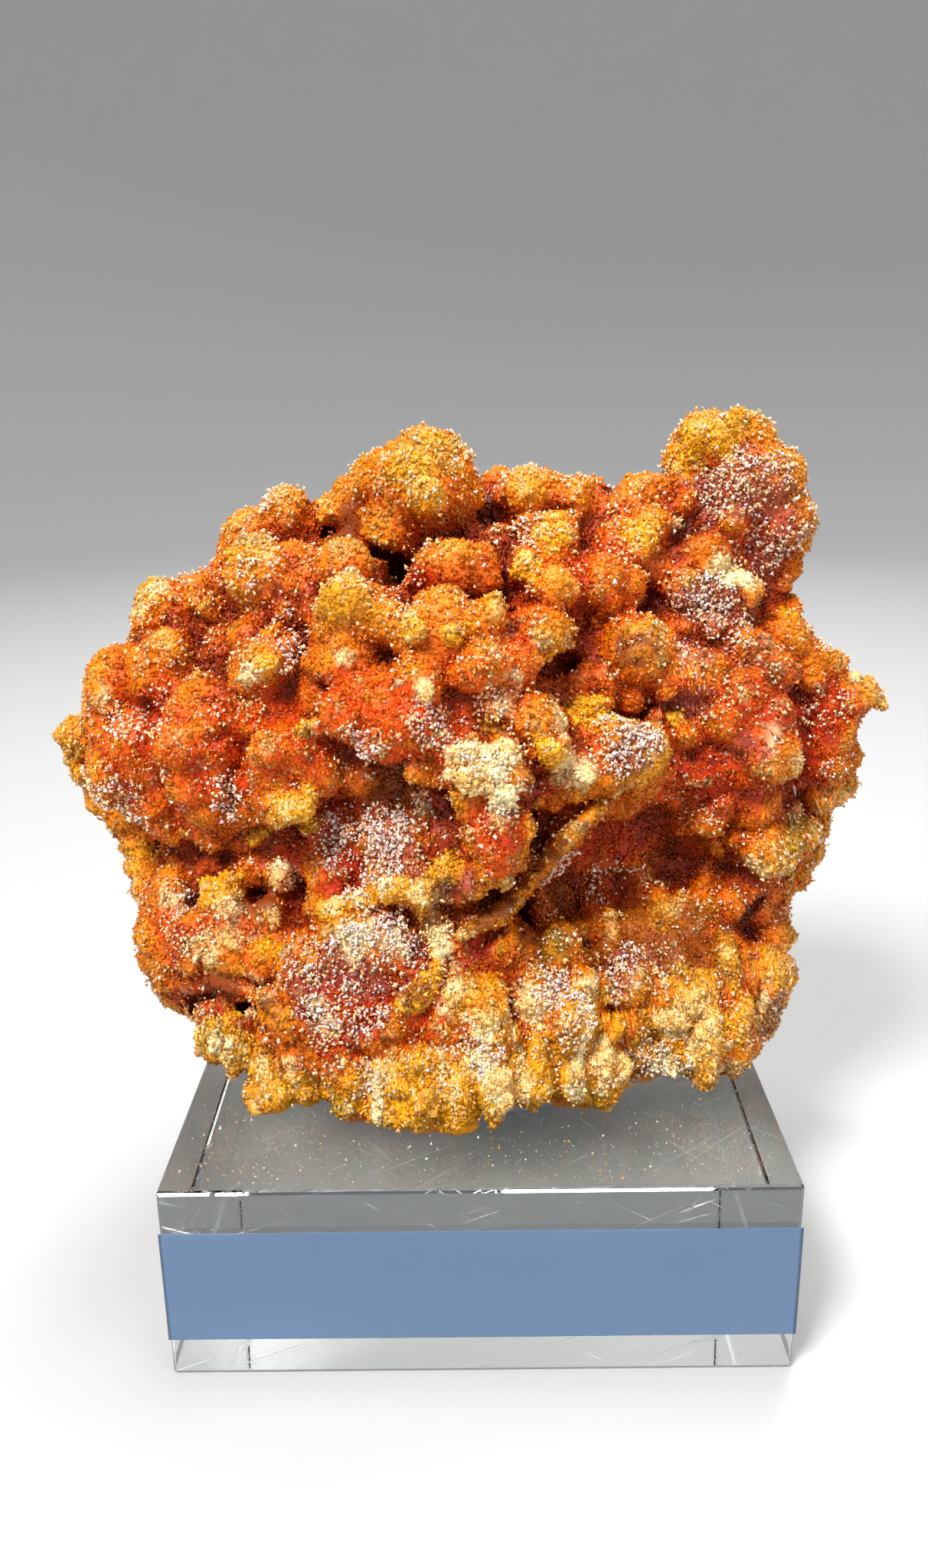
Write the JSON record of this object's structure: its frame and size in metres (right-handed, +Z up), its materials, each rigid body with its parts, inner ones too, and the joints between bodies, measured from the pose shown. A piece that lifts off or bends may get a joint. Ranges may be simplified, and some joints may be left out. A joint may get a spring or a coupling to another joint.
{
  "type": "zincite specimen on a display block",
  "caption": "Druse-covered orange and red zincite mass set with clear gel on a square clear acrylic display block with a blank frosted label strip.",
  "frame": {"origin": "middle of the display block's underside, which stands on the table", "axes": "+Z up, -Y out of the block's labelled front face, +X to the right as the label is read"},
  "size_m": [0.0879, 0.0632, 0.0883],
  "materials": {
    "zincite": "sugary druse of small glassy crystals, orange to deep red with yellow, cream and mauve patches",
    "clear_gel": "clear soft mounting gel",
    "clear_acrylic": "polished clear cast acrylic with fine scratches",
    "label_tape": "frosted translucent tape, blank"
  },
  "bodies": {
    "root": {"zincite": "zincite", "mounting_pad": "clear_gel", "display_block": "clear_acrylic", "label_strip": "label_tape"}
  },
  "joints": []
}
